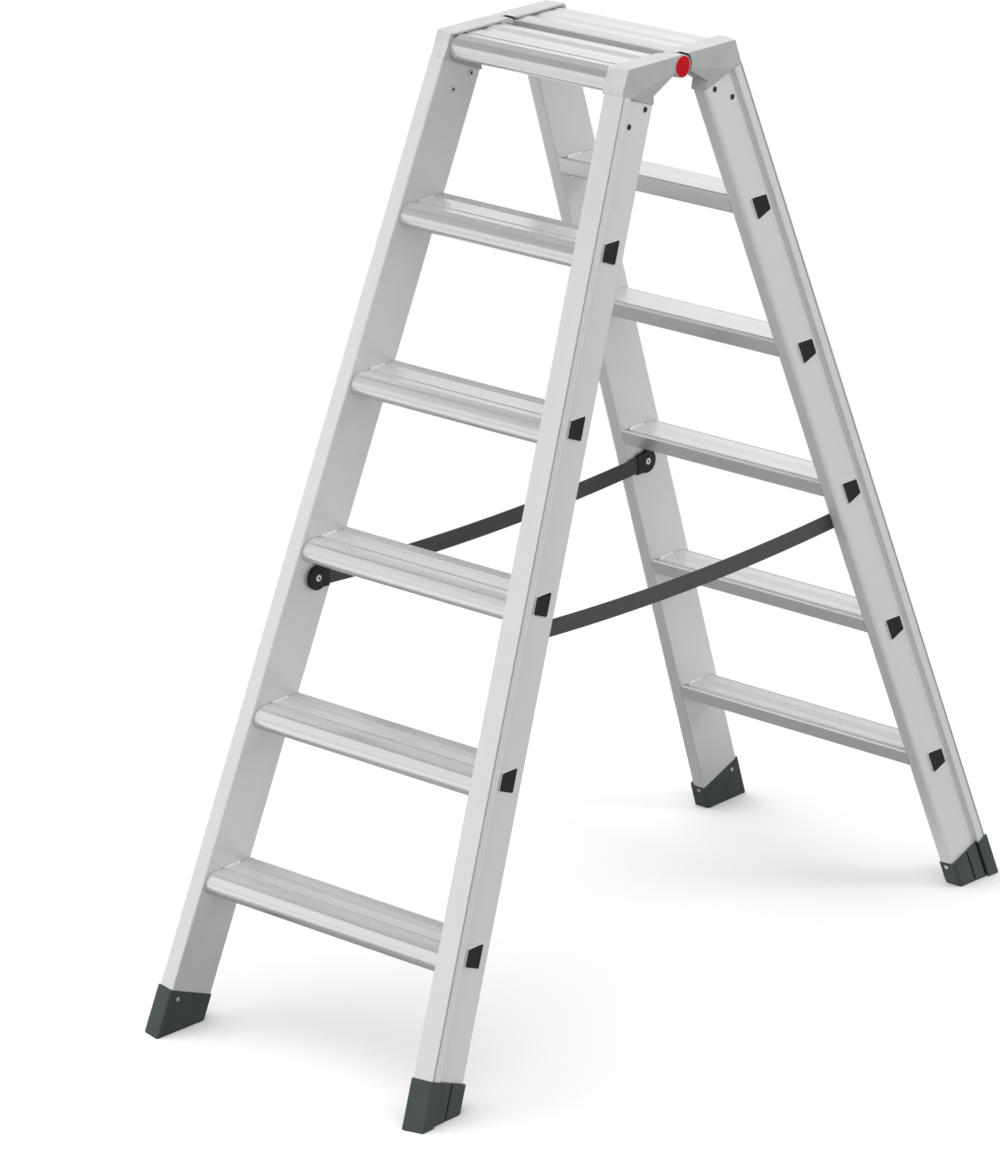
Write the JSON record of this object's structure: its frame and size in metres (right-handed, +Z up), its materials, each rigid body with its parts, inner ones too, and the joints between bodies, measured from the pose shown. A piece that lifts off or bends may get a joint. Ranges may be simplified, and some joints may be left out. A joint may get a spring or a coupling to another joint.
{
  "type": "trestle ladder",
  "caption": "Double-sided folding step ladder of two aluminium sections with treads, a split platform, hinge brackets, plastic feet and webbing spreader straps.",
  "frame": {"origin": "on the floor, midway between the four feet", "axes": "+X along the treads, +Y from the front section to the back section, +Z up"},
  "size_m": [0.5514, 1.3384, 1.4134],
  "materials": {
    "stile_aluminium": "satin extruded",
    "tread_aluminium": "satin extruded, grooved on top",
    "cast_grey": "satin pale grey",
    "foot_plastic": "satin dark grey",
    "plug_plastic": "matt black",
    "eye_plastic": "satin black",
    "webbing": "woven dark grey",
    "rivet_steel": "bright",
    "pin_steel": "plain",
    "washer_plastic": "plain",
    "cap_red": "satin red"
  },
  "bodies": {
    "front_section": {"stile_front_left": "stile_aluminium", "stile_front_right": "stile_aluminium", "tread_front_1": "tread_aluminium", "tread_front_2": "tread_aluminium", "tread_front_3": "tread_aluminium", "tread_front_4": "tread_aluminium", "tread_front_5": "tread_aluminium", "platform_front": "tread_aluminium", "bracket_front_left": "cast_grey", "bracket_front_right": "cast_grey", "foot_front_left": "foot_plastic", "foot_front_right": "foot_plastic", "plugs_front": "plug_plastic", "bracket_rivets_front": "rivet_steel", "foot_rivets_front": "rivet_steel", "strap_rivets_front": "rivet_steel", "hinge_pin_left": "pin_steel", "hinge_pin_right": "pin_steel", "hinge_washer_left": "washer_plastic", "hinge_washer_right": "washer_plastic", "hinge_cap_right": "cap_red"},
    "back_section": {"hinge_cap_left": "cap_red", "stile_back_left": "stile_aluminium", "stile_back_right": "stile_aluminium", "tread_back_1": "tread_aluminium", "tread_back_2": "tread_aluminium", "tread_back_3": "tread_aluminium", "tread_back_4": "tread_aluminium", "tread_back_5": "tread_aluminium", "platform_back": "tread_aluminium", "bracket_back_left": "cast_grey", "bracket_back_right": "cast_grey", "foot_back_left": "foot_plastic", "foot_back_right": "foot_plastic", "plugs_back": "plug_plastic", "bracket_rivets_back": "rivet_steel", "foot_rivets_back": "rivet_steel", "strap_rivets_back": "rivet_steel"},
    "front_left_strap": {"eye_front_left": "eye_plastic", "strap_front_left": "webbing"},
    "front_right_strap": {"eye_front_right": "eye_plastic", "strap_front_right": "webbing"},
    "back_left_strap": {"eye_back_left": "eye_plastic", "strap_back_left": "webbing"},
    "back_right_strap": {"eye_back_right": "eye_plastic", "strap_back_right": "webbing"}
  },
  "joints": [
    {"name": "fold", "type": "hinge", "parent": "front_section", "child": "back_section", "pos_m": [0, 0, 1.3965], "axis": [-1, 0, 0], "range_deg": [0, 37], "deforming": ["strap_front_left", "strap_front_right", "strap_back_left", "strap_back_right"]},
    {"name": "strap_turn_front_left", "type": "hinge", "parent": "front_section", "child": "front_left_strap", "pos_m": [-0.19524, -0.36679, 0.64226], "axis": [-1, 0, 0], "range_deg": [0, 89.21], "deforming": ["strap_front_left"]},
    {"name": "strap_turn_front_right", "type": "hinge", "parent": "front_section", "child": "front_right_strap", "pos_m": [0.19524, -0.36679, 0.64226], "axis": [-1, 0, 0], "range_deg": [0, 89.21], "deforming": ["strap_front_right"]},
    {"name": "strap_turn_back_left", "type": "hinge", "parent": "back_section", "child": "back_left_strap", "pos_m": [-0.19524, 0.36679, 0.64226], "axis": [1, 0, 0], "range_deg": [0, 89.21], "deforming": ["strap_back_left"]},
    {"name": "strap_turn_back_right", "type": "hinge", "parent": "back_section", "child": "back_right_strap", "pos_m": [0.19524, 0.36679, 0.64226], "axis": [1, 0, 0], "range_deg": [0, 89.21], "deforming": ["strap_back_right"]}
  ],
  "couplings": [
    {"joint": "strap_turn_front_left", "follows": "fold", "ratio": 2.4107},
    {"joint": "strap_turn_front_right", "follows": "fold", "ratio": 2.4107},
    {"joint": "strap_turn_back_left", "follows": "fold", "ratio": 2.4107},
    {"joint": "strap_turn_back_right", "follows": "fold", "ratio": 2.4107}
  ]
}
